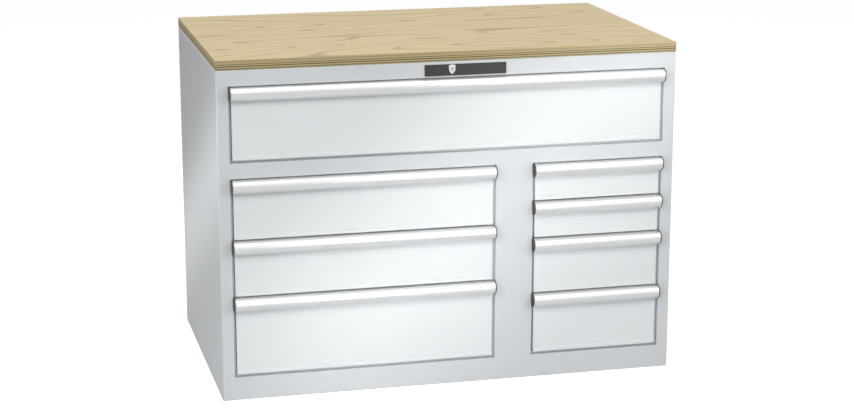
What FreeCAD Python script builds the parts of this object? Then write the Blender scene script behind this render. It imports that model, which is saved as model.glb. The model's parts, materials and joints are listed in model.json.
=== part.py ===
import FreeCAD, Part

import math
import os
import re
from collections import namedtuple

import Sketcher
from FreeCAD import Vector

# Multi-drawer cabinet of folded sheet steel with a plywood worktop.
# One wide drawer lies across the top, three wide ones are stacked at the left and four narrow
# ones at the right. A cylinder lock in the header drops a locking frame in front of them all.
#
# Every sketch uses the cabinet's own directions: x from the middle to the right, y from the
# front face of the frame to the back, z up from the floor. Placements then carry each piece
# to the origin, which is the middle of the whole cabinet's footprint, on the floor.

SIZES = {
    # The housing
    "width": 1193,
    "depth": 725,
    "housing_height": 850,
    "worktop_thickness": 25,
    "worktop_chamfer": 1,
    "steel": 1.5,
    "fold_radius": 3,
    "stile_width": 31,
    "header_height": 41,
    "header_return": 25,
    "crossbar_height": 39,
    "mullion_width": 98,
    "base_height": 60,
    "base_setback": 4,
    "base_flange": 40,
    "anchor_radius": 5.5,
    "anchor_inset": 20,
    "anchor_end_distance": 60,
    "rebate_depth": 12.5,
    "rebate_lip": 6,
    "rear_flange": 22,
    # The openings and the steps of the drawers in them, from the top down
    "top_opening": 194,
    "right_opening": 350,
    "left_step_one": 157,
    "left_step_two": 147,
    "right_step_one": 100,
    "right_step_two": 98.5,
    "right_step_three": 148,
    # The drawer fronts
    "front_steel": 1.2,
    "front_gap": 7,
    "front_recess": 2.5,
    "front_depth": 8,
    "front_foot_height": 9.5,
    "front_foot_kick": 1.5,
    "stack_gap": 0.5,
    # The handles
    "handle_drop": 2.5,
    "handle_height": 33,
    "handle_projection": 20,
    "handle_top_radius": 14,
    "handle_lower_radius": 26,
    "handle_wall": 2,
    "cap_thickness": 3,
    "cap_overhang": 1,
    "cap_gap": 0.8,
    # The drawer trays
    "tray_steel": 1.2,
    "tray_length": 640,
    "tray_floor_gap": 8,
    "tray_head_gap": 14,
    "tray_rim": 7,
    # The telescopic slides
    "upright_width": 30,
    "upright_front": 40,
    "upright_rear": 620,
    "rail_inset": 4.5,
    "rail_depth": 8.5,
    "rail_height": 24,
    "rail_centre": 24,
    "rail_front": 16,
    "rail_length": 660,
    "running_gap": 0.5,
    "roller_gap": 0.3,
    "carriage_thickness": 2.5,
    "carriage_height": 18,
    "carriage_front": 32,
    "carriage_length": 470,
    "roller_end": 20,
    "glide_length": 20,
    "glide_spacing": 100,
    # The lock
    "strip_width": 212,
    "strip_height": 29,
    "strip_thickness": 2,
    "strip_shift": 35.5,
    "strip_top_gap": 8,
    "strip_corner": 1.5,
    "lock_rise": 3,
    "barrel_radius": 7.5,
    "barrel_length": 20,
    "barrel_play": 0.2,
    "shield_half_width": 8.5,
    "shield_bottom": 13.5,
    "shield_shoulder": 8.5,
    "shield_waist": 1,
    "shield_crown_radius": 16,
    "shield_side_radius": 18,
    "shield_thickness": 1.8,
    "plug_radius": 5.5,
    "plug_play": 0.05,
    "plug_proud": 0.6,
    "key_slot_width": 1.6,
    "key_slot_height": 7,
    "key_slot_depth": 9,
    "cam_radius": 8,
    "cam_pin_radius": 3,
    "cam_thickness": 2,
    "cam_rim": 2,
    "cam_gap": 1,
    "pin_play": 0.4,
    # The locking frame behind the header and the stiles
    "frame_setback": 25,
    "frame_thickness": 3,
    "beam_height": 18,
    "bar_inset": 18,
    "bar_width": 12,
    "bar_clearance": 15,
    "hook_height": 10,
    "hook_clearance": 2,
    "hook_gap": 2,
    "lug_reach": 8,
    "lug_height": 8,
    "lug_thickness": 3,
    "lug_rise": 6,
    "lock_play": 1,
    "guide_height": 15,
    "guide_wall": 3,
    "guide_play": 0.4,
    "guide_rise": 20,
    "guide_drop": 69,
    # The screws that hold the worktop from below
    "screw_radius": 2.5,
    "screw_head_flats": 8,
    "screw_head_height": 3,
    "screw_bite": 18,
    "screw_play": 0.2,
    "pilot_play": 0.05,
    "screw_side_inset": 120,
    "screw_end_inset": 90,
}

document = FreeCAD.newDocument("MultiDrawerCabinet")
sizes = document.addObject("Spreadsheet::Sheet", "Sizes")
for row, (alias, number) in enumerate(SIZES.items(), start=1):
    sizes.set(f"A{row}", alias)
    sizes.set(f"B{row}", str(number))
    sizes.setAlias(f"B{row}", alias)
document.recompute()

# Levels and places that follow from the sizes, as formulas on the sheet's aliases
HALF = "(width / 2)"
FRONT_FACE = "((handle_projection + cap_overhang - depth) / 2)"
TOP_OPENING_TOP = "(housing_height - header_height)"
TOP_OPENING_FOOT = f"({TOP_OPENING_TOP} - top_opening)"
LOWER_OPENING_TOP = f"({TOP_OPENING_FOOT} - crossbar_height)"
TOP_WIDTH = "(width - 2 * stile_width)"
LEFT_WIDTH = f"({TOP_WIDTH} - mullion_width - right_opening)"
LEFT_CENTRE = f"({LEFT_WIDTH} / 2 + stile_width - width / 2)"
RIGHT_CENTRE = "(width / 2 - stile_width - right_opening / 2)"
MULLION_CENTRE = "(width / 2 - stile_width - right_opening - mullion_width / 2)"
LIP_FRONT = "(rebate_depth - steel)"
WALL_INSET = "(stile_width - steel)"
TRAY_MARGIN = "(rail_inset + 2 * rail_depth + 2 * running_gap + carriage_thickness)"
TRAY_FRONT = "(front_recess + front_depth)"
STRIP_CENTRE = "(housing_height - strip_top_gap - strip_height / 2)"
LOCK_LEVEL = f"({STRIP_CENTRE} + lock_rise)"
PIN_REACH = "(cam_radius / sqrt(2))"
PIN_LEVEL = f"({LOCK_LEVEL} + {PIN_REACH})"
LUG_FOOT = "(rail_centre + rail_height / 2 + lug_rise)"
HOOK_FOOT = f"({LUG_FOOT} + lug_height + hook_clearance)"

BAYS = {
    "top": ("0", TOP_WIDTH),
    "left": (LEFT_CENTRE, LEFT_WIDTH),
    "right": (RIGHT_CENTRE, "right_opening"),
}


# Sides on which the locking frame holds the drawers of a bay: -1 is the left, 1 the right
LOCKED_SIDES = {"top": (-1, 1), "left": (-1,), "right": (1,)}

Drawer = namedtuple("Drawer", "name bay foot height space")


def column(side, steps):
    """The drawers of one column, each on its slot's foot, with the space under its front."""
    drawers = []
    top = LOWER_OPENING_TOP
    for number, step in enumerate(steps, start=1):
        foot = f"({top} - {step})"
        drawers.append(Drawer(f"{side}_drawer_{number}", side, foot, step, "stack_gap"))
        top = foot
    rest = f"({top} - base_height)"
    name = f"{side}_drawer_{len(steps) + 1}"
    drawers.append(Drawer(name, side, "base_height", rest, "front_gap"))
    return drawers


DRAWERS = [Drawer("top_drawer", "top", TOP_OPENING_FOOT, "top_opening", "front_gap")]
DRAWERS += column("left", ["left_step_one", "left_step_two"])
DRAWERS += column("right", ["right_step_one", "right_step_two", "right_step_three"])

KEPT_WORDS = ("sqrt",)
bodies = []


def linked(formula):
    """The formula as another object writes it, with the sheet's name before each alias."""
    return re.sub(
        r"[a-z_]+",
        lambda found: found.group() if found.group() in KEPT_WORDS else "Sizes." + found.group(),
        formula,
    )


def worth(formula):
    return float(sizes.evalExpression(formula))


def new_body(label, x="0", y=FRONT_FACE, z="0"):
    """An empty body whose placement carries its own zero point to x, y and z."""
    body = document.addObject("PartDesign::Body", label)
    body.Label = label
    body.AllowCompound = True
    for axis, formula in (("x", x), ("y", y), ("z", z)):
        body.setExpression(f"Placement.Base.{axis}", linked(formula))
    bodies.append(body)
    return body


def new_sketch(body, plane, offset):
    sketch = body.newObject("Sketcher::SketchObject", f"{body.Label}_sketch")
    support = next(item for item in body.Origin.OriginFeatures if item.Role == plane)
    sketch.AttachmentSupport = [(support, "")]
    sketch.MapMode = "FlatFace"
    sketch.setExpression("AttachmentOffset.Base.z", linked(offset))
    return sketch


def arc_between(start, end, radius, turn):
    """The short arc from start to end. turn is 1 where it runs anticlockwise and -1 where not."""
    chord = end - start
    away = Vector(-chord.y, chord.x, 0).normalize()
    reach = math.sqrt(max(radius**2 - (chord.Length / 2) ** 2, 0))
    centre = start + chord * 0.5 + away * (turn * reach)
    first, last = (start, end) if turn > 0 else (end, start)
    angles = [math.atan2(point.y - centre.y, point.x - centre.x) for point in (first, last)]
    if angles[1] < angles[0]:
        angles[1] += 2 * math.pi
    return Part.ArcOfCircle(Part.Circle(centre, Vector(0, 0, 1), radius), *angles)


def add_outline(sketch, points):
    """Draw a closed chain. A point is (x, y), or (x, y, radius, turn) where an arc leaves it."""
    places = [Vector(worth(point[0]), worth(point[1]), 0) for point in points]
    base = sketch.GeometryCount
    ends = []
    for index, point in enumerate(points):
        start = places[index]
        end = places[(index + 1) % len(points)]
        if len(point) == 4:
            sketch.addGeometry(arc_between(start, end, worth(point[2]), point[3]))
            ends.append((1, 2) if point[3] > 0 else (2, 1))
        else:
            sketch.addGeometry(Part.LineSegment(start, end))
            ends.append((1, 2))
    constraints = []
    formulas = []
    for index, point in enumerate(points):
        after = (index + 1) % len(points)
        joint = (base + index, ends[index][1], base + after, ends[after][0])
        constraints.append(Sketcher.Constraint("Coincident", *joint))
        formulas.append(None)
        held = (-1, 1, base + index, ends[index][0])
        constraints.append(Sketcher.Constraint("DistanceX", *held, places[index].x))
        formulas.append(point[0])
        constraints.append(Sketcher.Constraint("DistanceY", *held, places[index].y))
        formulas.append(point[1])
        if len(point) == 4:
            constraints.append(Sketcher.Constraint("Radius", base + index, worth(point[2])))
            formulas.append(point[2])
    bind(sketch, constraints, formulas)


def add_circle(sketch, x, y, radius):
    """Draw a circle about x and y."""
    centre = Vector(worth(x), worth(y), 0)
    index = sketch.addGeometry(Part.Circle(centre, Vector(0, 0, 1), worth(radius)))
    constraints = [
        Sketcher.Constraint("DistanceX", -1, 1, index, 3, centre.x),
        Sketcher.Constraint("DistanceY", -1, 1, index, 3, centre.y),
        Sketcher.Constraint("Radius", index, worth(radius)),
    ]
    bind(sketch, constraints, [x, y, radius])


def bind(sketch, constraints, formulas):
    """Add the constraints and tie each value to its formula."""
    numbers = sketch.addConstraint(constraints)
    for number, formula in zip(numbers, formulas):
        if formula is not None:
            sketch.setExpression(f"Constraints[{number}]", linked(formula))


def rectangle(left, right, low, high):
    return [(left, low), (right, low), (right, high), (left, high)]


def mirrored(points):
    """The points of an outline's other half, in the order that carries the outline on."""
    return [(f"-({x})", y) for x, y in reversed(points)]


def draw(sketch, shapes):
    """Draw each shape: a list of points is an outline, and a tuple of three is a circle."""
    for shape in shapes:
        if isinstance(shape, tuple):
            add_circle(sketch, *shape)
        else:
            add_outline(sketch, shape)


def pad(body, plane, shapes, low, high):
    """Extrude the shapes between two levels along the plane's own direction."""
    offset = f"-({high})" if plane == "XZ_Plane" else low
    sketch = new_sketch(body, plane, offset)
    draw(sketch, shapes)
    feature = body.newObject("PartDesign::Pad", f"{body.Label}_pad")
    feature.Profile = sketch
    feature.setExpression("Length", linked(f"({high}) - ({low})"))
    return feature


def pocket(body, plane, shapes, low, high):
    """Cut the shapes out between two levels along the plane's own direction."""
    offset = f"-({low})" if plane == "XZ_Plane" else high
    sketch = new_sketch(body, plane, offset)
    draw(sketch, shapes)
    feature = body.newObject("PartDesign::Pocket", f"{body.Label}_pocket")
    feature.Profile = sketch
    feature.setExpression("Length", linked(f"({high}) - ({low})"))
    return feature


def block(body, x, y, z):
    """Pad a rectangular stretch of sheet from its limits along x, y and z."""
    return pad(body, "XY_Plane", [rectangle(*x, *y)], *z)


def bay_limits(bay, inset="0"):
    """The left and right edges of an opening, drawn in by the inset."""
    centre, width = BAYS[bay]
    reach = f"({width} / 2 - ({inset}))"
    return f"{centre} - {reach}", f"{centre} + {reach}"


def add_lip(body, bay, low, high):
    """A rebate lip across one opening, between the lips of the uprights beside it."""
    block(body, bay_limits(bay, "rebate_lip"), (LIP_FRONT, "rebate_depth"), (low, high))


def channel_outline(low, high):
    """Section of a rail of the front frame: a face with a return at its foot and its top."""
    return [
        ("0", low),
        ("0", high),
        (LIP_FRONT, high),
        (LIP_FRONT, f"{high} - steel"),
        ("steel", f"{high} - steel"),
        ("steel", f"{low} + steel"),
        (LIP_FRONT, f"{low} + steel"),
        (LIP_FRONT, low),
    ]


def side_panel(label, side):
    """A side wall folded round the front corner into the stile and its rebate lip."""
    body = new_body(label)

    def inset(distance):
        return f"{side} * (width / 2 - ({distance}))"

    def stile(wall_end):
        return [
            (inset("0"), wall_end),
            (inset("0"), "fold_radius", "fold_radius", -side),
            (inset("fold_radius"), "0"),
            (inset("stile_width"), "0"),
            (inset("stile_width"), LIP_FRONT),
            (inset("stile_width + rebate_lip"), LIP_FRONT),
            (inset("stile_width + rebate_lip"), "rebate_depth"),
            (inset(WALL_INSET), "rebate_depth"),
            (inset(WALL_INSET), "steel"),
            (inset("fold_radius"), "steel", "fold_radius - steel", side),
            (inset("steel"), "fold_radius"),
        ]

    rear_fold = [
        (inset("steel"), "depth - 2 * steel"),
        (inset("rear_flange"), "depth - 2 * steel"),
        (inset("rear_flange"), "depth - steel"),
        (inset("steel"), "depth - steel"),
        (inset("steel"), "depth"),
    ]
    pad(body, "XY_Plane", [stile("depth") + rear_fold], "base_height", "housing_height")
    foot = stile("base_setback") + [(inset("steel"), "base_setback")]
    pad(body, "XY_Plane", [foot], "0", "base_height")


def base_pan():
    """The floor of the housing: a hat section with skirts, floor flanges and anchor holes."""
    body = new_body("base_pan")
    fold = "base_height - fold_radius"
    inner_fold = "fold_radius - steel"
    section = [
        (f"-({HALF} - base_flange)", "0"),
        (f"-({HALF})", "0"),
        (f"-({HALF})", fold, "fold_radius", -1),
        (f"-({HALF} - fold_radius)", "base_height"),
        (f"{HALF} - fold_radius", "base_height", "fold_radius", -1),
        (HALF, fold),
        (HALF, "0"),
        (f"{HALF} - base_flange", "0"),
        (f"{HALF} - base_flange", "steel"),
        (f"{HALF} - steel", "steel"),
        (f"{HALF} - steel", fold, inner_fold, 1),
        (f"{HALF} - fold_radius", "base_height - steel"),
        (f"-({HALF} - fold_radius)", "base_height - steel", inner_fold, 1),
        (f"-({HALF} - steel)", fold),
        (f"-({HALF} - steel)", "steel"),
        (f"-({HALF} - base_flange)", "steel"),
    ]
    pad(body, "XZ_Plane", [section], "rebate_depth", "depth")
    for side in (-1, 1):
        skirt = (f"{side} * {HALF}", f"{side} * ({HALF} - steel)")
        block(body, skirt, ("base_setback", "rebate_depth"), ("0", fold))
    across = (f"-({HALF} - steel)", f"{HALF} - steel")
    block(body, across, ("depth - steel", "depth"), ("0", "base_height - steel"))
    anchors = [
        (f"{side} * ({HALF} - anchor_inset)", place, "anchor_radius")
        for side in (-1, 1)
        for place in ("anchor_end_distance", "depth - anchor_end_distance")
    ]
    pocket(body, "XY_Plane", anchors, "0", "2 * steel")


def front_sill():
    """The front of the base, folded, with a lip under each column of drawers."""
    body = new_body("front_sill")
    pad(body, "YZ_Plane", [channel_outline("0", "base_height")], *bay_limits("top"))
    for bay in ("left", "right"):
        add_lip(body, bay, "base_height - steel", "base_height + rebate_lip")


def front_header():
    """The rail above the top drawer, bored for the lock."""
    body = new_body("front_header")
    outline = channel_outline(TOP_OPENING_TOP, "housing_height")
    pad(body, "YZ_Plane", [outline], *bay_limits("top"))
    level = ("housing_height - steel", "housing_height")
    block(body, bay_limits("top", "rebate_lip"), (LIP_FRONT, "header_return"), level)
    add_lip(body, "top", f"{TOP_OPENING_TOP} - rebate_lip", f"{TOP_OPENING_TOP} + steel")
    bore = ("0", LOCK_LEVEL, "barrel_radius + barrel_play")
    pocket(body, "XZ_Plane", [bore], "0", "2 * steel")


def front_crossbar():
    """The rail between the top drawer and the two columns."""
    body = new_body("front_crossbar")
    outline = channel_outline(LOWER_OPENING_TOP, TOP_OPENING_FOOT)
    pad(body, "YZ_Plane", [outline], *bay_limits("top"))
    add_lip(body, "top", f"{TOP_OPENING_FOOT} - steel", f"{TOP_OPENING_FOOT} + rebate_lip")
    for bay in ("left", "right"):
        add_lip(body, bay, f"{LOWER_OPENING_TOP} - rebate_lip", f"{LOWER_OPENING_TOP} + steel")


def front_mullion():
    """The hat-shaped upright between the two columns."""
    body = new_body("front_mullion", x=MULLION_CENTRE)
    half = [
        ("mullion_width / 2 - steel", "steel"),
        ("mullion_width / 2 - steel", "rebate_depth"),
        ("mullion_width / 2 + rebate_lip", "rebate_depth"),
        ("mullion_width / 2 + rebate_lip", LIP_FRONT),
        ("mullion_width / 2", LIP_FRONT),
        ("mullion_width / 2", "0"),
    ]
    pad(body, "XY_Plane", [half + mirrored(half)], "base_height", LOWER_OPENING_TOP)


def centre_partition():
    """The double wall behind the mullion, which carries the slides of both columns."""
    body = new_body("centre_partition", x=MULLION_CENTRE)
    wall = f"(mullion_width / 2 - {WALL_INSET})"
    half = [
        (f"{wall} - steel", "depth - 2 * steel"),
        (f"{wall} - steel", "rebate_depth"),
        ("mullion_width / 2", "rebate_depth"),
        ("mullion_width / 2", "rebate_depth + steel"),
        (wall, "rebate_depth + steel"),
        (wall, "depth - steel"),
    ]
    pad(body, "XY_Plane", [half + mirrored(half)], "base_height", LOWER_OPENING_TOP)


def back_panel():
    """The sheet let in between the side walls at the back."""
    body = new_body("back_panel")
    across = (f"-({HALF} - steel)", f"{HALF} - steel")
    block(body, across, ("depth - steel", "depth"), ("base_height", "housing_height"))


SCREW_PLACES = [
    (f"{side} * ({HALF} - screw_side_inset)", place)
    for side in (-1, 1)
    for place in ("screw_end_inset", "depth - screw_end_inset")
]


def screw_circles(radius):
    """A circle at each of the four places where a screw holds the worktop."""
    return [(x, y, radius) for x, y in SCREW_PLACES]


def hexagon(x, y):
    """The outline of a screw's head about x and y."""
    flat = "screw_head_flats / 2"
    corner = "screw_head_flats / sqrt(12)"
    return [
        (f"{x} - {corner}", f"{y} - {flat}"),
        (f"{x} + {corner}", f"{y} - {flat}"),
        (f"{x} + 2 * {corner}", y),
        (f"{x} + {corner}", f"{y} + {flat}"),
        (f"{x} - {corner}", f"{y} + {flat}"),
        (f"{x} - 2 * {corner}", y),
    ]


def top_panel():
    """The steel top under the worktop, from the header's return to the back panel."""
    body = new_body("top_panel")
    across = (f"-({HALF} - steel)", f"{HALF} - steel")
    level = ("housing_height - steel", "housing_height")
    block(body, across, ("header_return", "depth - 2 * steel"), level)
    pocket(body, "XY_Plane", screw_circles("screw_radius + screw_play"), *level)


def worktop():
    """The plywood board, flush with the housing all round, with its upper edges eased."""
    body = new_body("worktop")
    top = "housing_height + worktop_thickness"
    block(body, (f"-({HALF})", HALF), ("0", "depth"), ("housing_height", top))
    pilots = screw_circles("screw_radius + pilot_play")
    pilot_end = "housing_height + screw_bite + screw_play"
    drilled = pocket(body, "XY_Plane", pilots, "housing_height", pilot_end)
    document.recompute()
    levels = [face.CenterOfMass.z for face in drilled.Shape.Faces]
    upper = levels.index(max(levels)) + 1
    easing = body.newObject("PartDesign::Chamfer", "worktop_easing")
    easing.Base = (drilled, [f"Face{upper}"])
    easing.setExpression("Size", linked("worktop_chamfer"))


def worktop_screws():
    """Four screws up through the steel top into the board."""
    body = new_body("worktop_screws")
    under = "housing_height - steel"
    heads = [hexagon(x, y) for x, y in SCREW_PLACES]
    pad(body, "XY_Plane", heads, f"{under} - screw_head_height", under)
    pad(body, "XY_Plane", screw_circles("screw_radius"), under, "housing_height + screw_bite")


def upright_outline(edge, inward, front):
    """Section of a slide upright beside an opening's edge. inward points into the opening."""
    web = f"{edge} + {inward} * rail_inset"
    inner = f"{edge} + {inward} * (rail_inset - steel)"
    wall = f"{edge} - {inward} * {WALL_INSET}"
    rear = f"{front} + upright_width"
    return [
        (wall, front),
        (web, front),
        (web, rear),
        (wall, rear),
        (wall, f"{rear} - steel"),
        (inner, f"{rear} - steel"),
        (inner, f"{front} + steel"),
        (wall, f"{front} + steel"),
    ]


def rail_uprights():
    """Eight channels on the side walls and the partition, which the slides hang on."""
    body = new_body("rail_uprights")
    outer = []
    middle = []
    for front in ("upright_front", "upright_rear"):
        outer.append(upright_outline(bay_limits("top")[0], 1, front))
        outer.append(upright_outline(bay_limits("top")[1], -1, front))
        middle.append(upright_outline(bay_limits("left")[1], -1, front))
        middle.append(upright_outline(bay_limits("right")[0], 1, front))
    pad(body, "XY_Plane", outer, "base_height", "housing_height - steel")
    pad(body, "XY_Plane", middle, "base_height", LOWER_OPENING_TOP)


def rail_outline(outer, inward, level):
    """Section of a slide rail: a web at outer, and flanges that point inward from it."""
    tip = f"{outer} + {inward} * rail_depth"
    web = f"{outer} + {inward} * steel"
    low = f"{level} - rail_height / 2"
    high = f"{level} + rail_height / 2"
    return [
        (outer, low),
        (tip, low),
        (tip, f"{low} + steel"),
        (web, f"{low} + steel"),
        (web, f"{high} - steel"),
        (tip, f"{high} - steel"),
        (tip, high),
        (outer, high),
    ]


def cabinet_rails():
    """The fixed rail at each side of each drawer."""
    body = new_body("cabinet_rails")
    for drawer in DRAWERS:
        left, right = bay_limits(drawer.bay, "rail_inset")
        level = f"{drawer.foot} + rail_centre"
        shapes = [rail_outline(left, 1, level), rail_outline(right, -1, level)]
        pad(body, "XZ_Plane", shapes, "rail_front", "rail_front + rail_length")


def carriages(drawer):
    """The pair of moving bars between the fixed rails and the drawer's rails.

    Each bar has a roller and a glide in the fixed rail, and two glides in the drawer's rail.
    """
    centre, width = BAYS[drawer.bay]
    body = new_body(f"{drawer.name}_carriages", x=centre, z=drawer.foot)
    outer = f"({width} / 2 - rail_inset - rail_depth - running_gap)"
    inner = f"({outer} - carriage_thickness)"
    reach = "(rail_depth - steel)"
    end = "carriage_front + carriage_length"
    half = "carriage_height / 2"
    radius = "(rail_height / 2 - steel - roller_gap)"
    roller = (f"{end} - roller_end", "rail_centre", radius)

    def glide(middle):
        near = f"{middle} - glide_length / 2"
        far = f"{middle} + glide_length / 2"
        return rectangle(near, far, f"rail_centre - {radius}", f"rail_centre + {radius}")

    fixed_side = [roller, glide(f"{end} - roller_end - glide_spacing")]
    start = "carriage_front + glide_length / 2"
    drawer_side = [glide(start), glide(f"{start} + glide_spacing")]
    for sign in (-1, 1):
        bar = (f"{sign} * {outer}", f"{sign} * {inner}")
        level = (f"rail_centre - {half}", f"rail_centre + {half}")
        block(body, bar, ("carriage_front", end), level)
    pad(body, "YZ_Plane", fixed_side, outer, f"{outer} + {reach}")
    pad(body, "YZ_Plane", fixed_side, f"-({outer} + {reach})", f"-{outer}")
    pad(body, "YZ_Plane", drawer_side, f"{inner} - {reach}", inner)
    pad(body, "YZ_Plane", drawer_side, f"-{inner}", f"-({inner} - {reach})")


def tray(drawer):
    """The drawer's box with its rims, the rails welded to its sides and the locking lugs."""
    centre, width = BAYS[drawer.bay]
    body = new_body(f"{drawer.name}_tray", x=centre, z=drawer.foot)
    side = f"({width} / 2 - {TRAY_MARGIN})"
    top = f"({drawer.height} - tray_head_gap)"
    rear = f"({TRAY_FRONT} + tray_length)"
    wall = [
        (f"{side} + tray_rim", f"{top} - tray_steel"),
        (f"{side} + tray_rim", top),
        (f"{side} - tray_steel", top),
        (f"{side} - tray_steel", "tray_floor_gap + tray_steel"),
    ]
    outside = [(side, "tray_floor_gap"), (side, f"{top} - tray_steel")]
    section = wall + mirrored(wall) + mirrored(outside) + outside
    pad(body, "XZ_Plane", [section], TRAY_FRONT, rear)
    inside = (f"-({side} - tray_steel)", f"{side} - tray_steel")
    level = ("tray_floor_gap + tray_steel", top)
    block(body, inside, (TRAY_FRONT, f"{TRAY_FRONT} + tray_steel"), level)
    block(body, inside, (f"{rear} - tray_steel", rear), level)
    rails = [rail_outline(side, 1, "rail_centre"), rail_outline(f"-{side}", -1, "rail_centre")]
    pad(body, "XZ_Plane", rails, "rail_front", rear)
    lug_front = "frame_setback + frame_thickness + lock_play"
    for sign in LOCKED_SIDES[drawer.bay]:
        lug = (f"{sign} * {side}", f"{sign} * ({side} + lug_reach)")
        depth = (lug_front, f"{lug_front} + lug_thickness")
        block(body, lug, depth, (LUG_FOOT, f"{LUG_FOOT} + lug_height"))


def front(drawer):
    """The drawer's front: a pan whose foot is kicked forward below a crease."""
    centre, width = BAYS[drawer.bay]
    body = new_body(f"{drawer.name}_front", x=centre, z=drawer.foot)
    top = f"({drawer.height} - handle_drop)"
    face = [
        ("front_recess", top),
        ("front_recess", f"{drawer.space} + front_foot_height + front_foot_kick"),
        ("front_recess - front_foot_kick", f"{drawer.space} + front_foot_height"),
        ("front_recess - front_foot_kick", drawer.space),
    ]
    returns = [
        (TRAY_FRONT, drawer.space),
        (TRAY_FRONT, f"{drawer.space} + front_steel"),
        ("front_recess - front_foot_kick + front_steel", f"{drawer.space} + front_steel"),
        ("front_recess - front_foot_kick + front_steel", f"{drawer.space} + front_foot_height"),
        ("front_recess + front_steel", f"{drawer.space} + front_foot_height + front_foot_kick"),
        ("front_recess + front_steel", f"{top} - front_steel"),
        (TRAY_FRONT, f"{top} - front_steel"),
        (TRAY_FRONT, top),
    ]
    end = f"({width} / 2 - front_gap)"
    pad(body, "YZ_Plane", [face + returns], f"-{end}", end)
    cheek = face + [(TRAY_FRONT, drawer.space), (TRAY_FRONT, top)]
    pad(body, "YZ_Plane", [cheek], f"-{end}", f"-({end} - front_steel)")
    pad(body, "YZ_Plane", [cheek], f"{end} - front_steel", end)


def handle(drawer):
    """The extruded bar across the drawer, bowed in front and open below for the fingers."""
    centre, width = BAYS[drawer.bay]
    body = new_body(f"{drawer.name}_handle", x=centre, z=drawer.foot)
    top = f"({drawer.height} - handle_drop)"
    foot = f"({top} - handle_height)"
    crown = "handle_top_radius - handle_projection"
    widest = f"{top} - handle_top_radius"
    lower = "(handle_height - handle_top_radius)"
    middle = "(handle_lower_radius - handle_projection)"
    inner = "(handle_lower_radius - handle_wall)"
    section = [
        (crown, top, "handle_top_radius", 1),
        ("-handle_projection", widest, "handle_lower_radius", 1),
        (f"{middle} - sqrt(handle_lower_radius * handle_lower_radius - {lower} * {lower})", foot),
        (f"{middle} - sqrt({inner} * {inner} - {lower} * {lower})", foot, inner, -1),
        ("handle_wall - handle_projection", widest, "handle_top_radius - handle_wall", -1),
        (crown, f"{top} - handle_wall"),
        ("front_recess - handle_wall", f"{top} - handle_wall"),
        ("front_recess - handle_wall", foot),
        ("front_recess", foot),
        ("front_recess", top),
    ]
    end = f"({width} / 2 - cap_gap - cap_thickness)"
    pad(body, "YZ_Plane", [section], f"-{end}", end)


def handle_caps(drawer):
    """The two plastic ends of a handle, a little larger than its section all round."""
    centre, width = BAYS[drawer.bay]
    body = new_body(f"{drawer.name}_handle_caps", x=centre, z=drawer.foot)
    top = f"({drawer.height} - handle_drop)"
    foot = f"({top} - handle_height - cap_overhang)"
    outer = "(handle_lower_radius + cap_overhang)"
    lower = "(handle_height - handle_top_radius + cap_overhang)"
    middle = "(handle_lower_radius - handle_projection)"
    section = [
        ("handle_top_radius - handle_projection", f"{top} + cap_overhang",
         "handle_top_radius + cap_overhang", 1),
        ("-(handle_projection + cap_overhang)", f"{top} - handle_top_radius", outer, 1),
        (f"{middle} - sqrt({outer} * {outer} - {lower} * {lower})", foot),
        ("front_recess", foot),
        ("front_recess", f"{top} + cap_overhang"),
    ]
    outside = f"({width} / 2 - cap_gap)"
    inside = f"({outside} - cap_thickness)"
    pad(body, "YZ_Plane", [section], f"-{outside}", f"-{inside}")
    pad(body, "YZ_Plane", [section], inside, outside)


def lock_strip():
    """The dark cover strip on the header, with small round corners and a hole for the lock."""
    body = new_body("lock_strip", x="strip_shift", z=STRIP_CENTRE)
    wide = "strip_width / 2"
    tall = "strip_height / 2"
    corner = "strip_corner"
    outline = [
        (f"{corner} - {wide}", f"-{tall}"),
        (f"{wide} - {corner}", f"-{tall}", corner, 1),
        (wide, f"{corner} - {tall}"),
        (wide, f"{tall} - {corner}", corner, 1),
        (f"{wide} - {corner}", tall),
        (f"{corner} - {wide}", tall, corner, 1),
        (f"-{wide}", f"{tall} - {corner}"),
        (f"-{wide}", f"{corner} - {tall}", corner, 1),
    ]
    hole = ("-strip_shift", "lock_rise", "barrel_radius + barrel_play")
    pad(body, "XZ_Plane", [outline, hole], "-strip_thickness", "0")


def lock_barrel():
    """The fixed lock cylinder with its shield-shaped flange, bored for the plug."""
    body = new_body("lock_barrel", z=LOCK_LEVEL)
    shield = [
        ("0", "-shield_bottom", "shield_side_radius", 1),
        ("shield_half_width", "shield_waist"),
        ("shield_half_width", "shield_shoulder", "shield_crown_radius", 1),
        ("-shield_half_width", "shield_shoulder"),
        ("-shield_half_width", "shield_waist", "shield_side_radius", 1),
    ]
    bore = ("0", "0", "plug_radius + plug_play")
    flange = "-(strip_thickness + shield_thickness)"
    pad(body, "XZ_Plane", [shield, bore], flange, "-strip_thickness")
    barrel = ("0", "0", "barrel_radius")
    pad(body, "XZ_Plane", [barrel, bore], "-strip_thickness", "barrel_length")


def lock_plug():
    """The part of the lock that the key turns, with its key slot upright at rest."""
    body = new_body("lock_plug", z=LOCK_LEVEL)
    nose = "-(strip_thickness + shield_thickness + plug_proud)"
    pad(body, "XZ_Plane", [("0", "0", "plug_radius")], nose, "barrel_length + cam_gap")
    slot = rectangle("-key_slot_width / 2", "key_slot_width / 2",
                     "-key_slot_height / 2", "key_slot_height / 2")
    pocket(body, "XZ_Plane", [slot], nose, f"{nose} + key_slot_depth")


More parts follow.
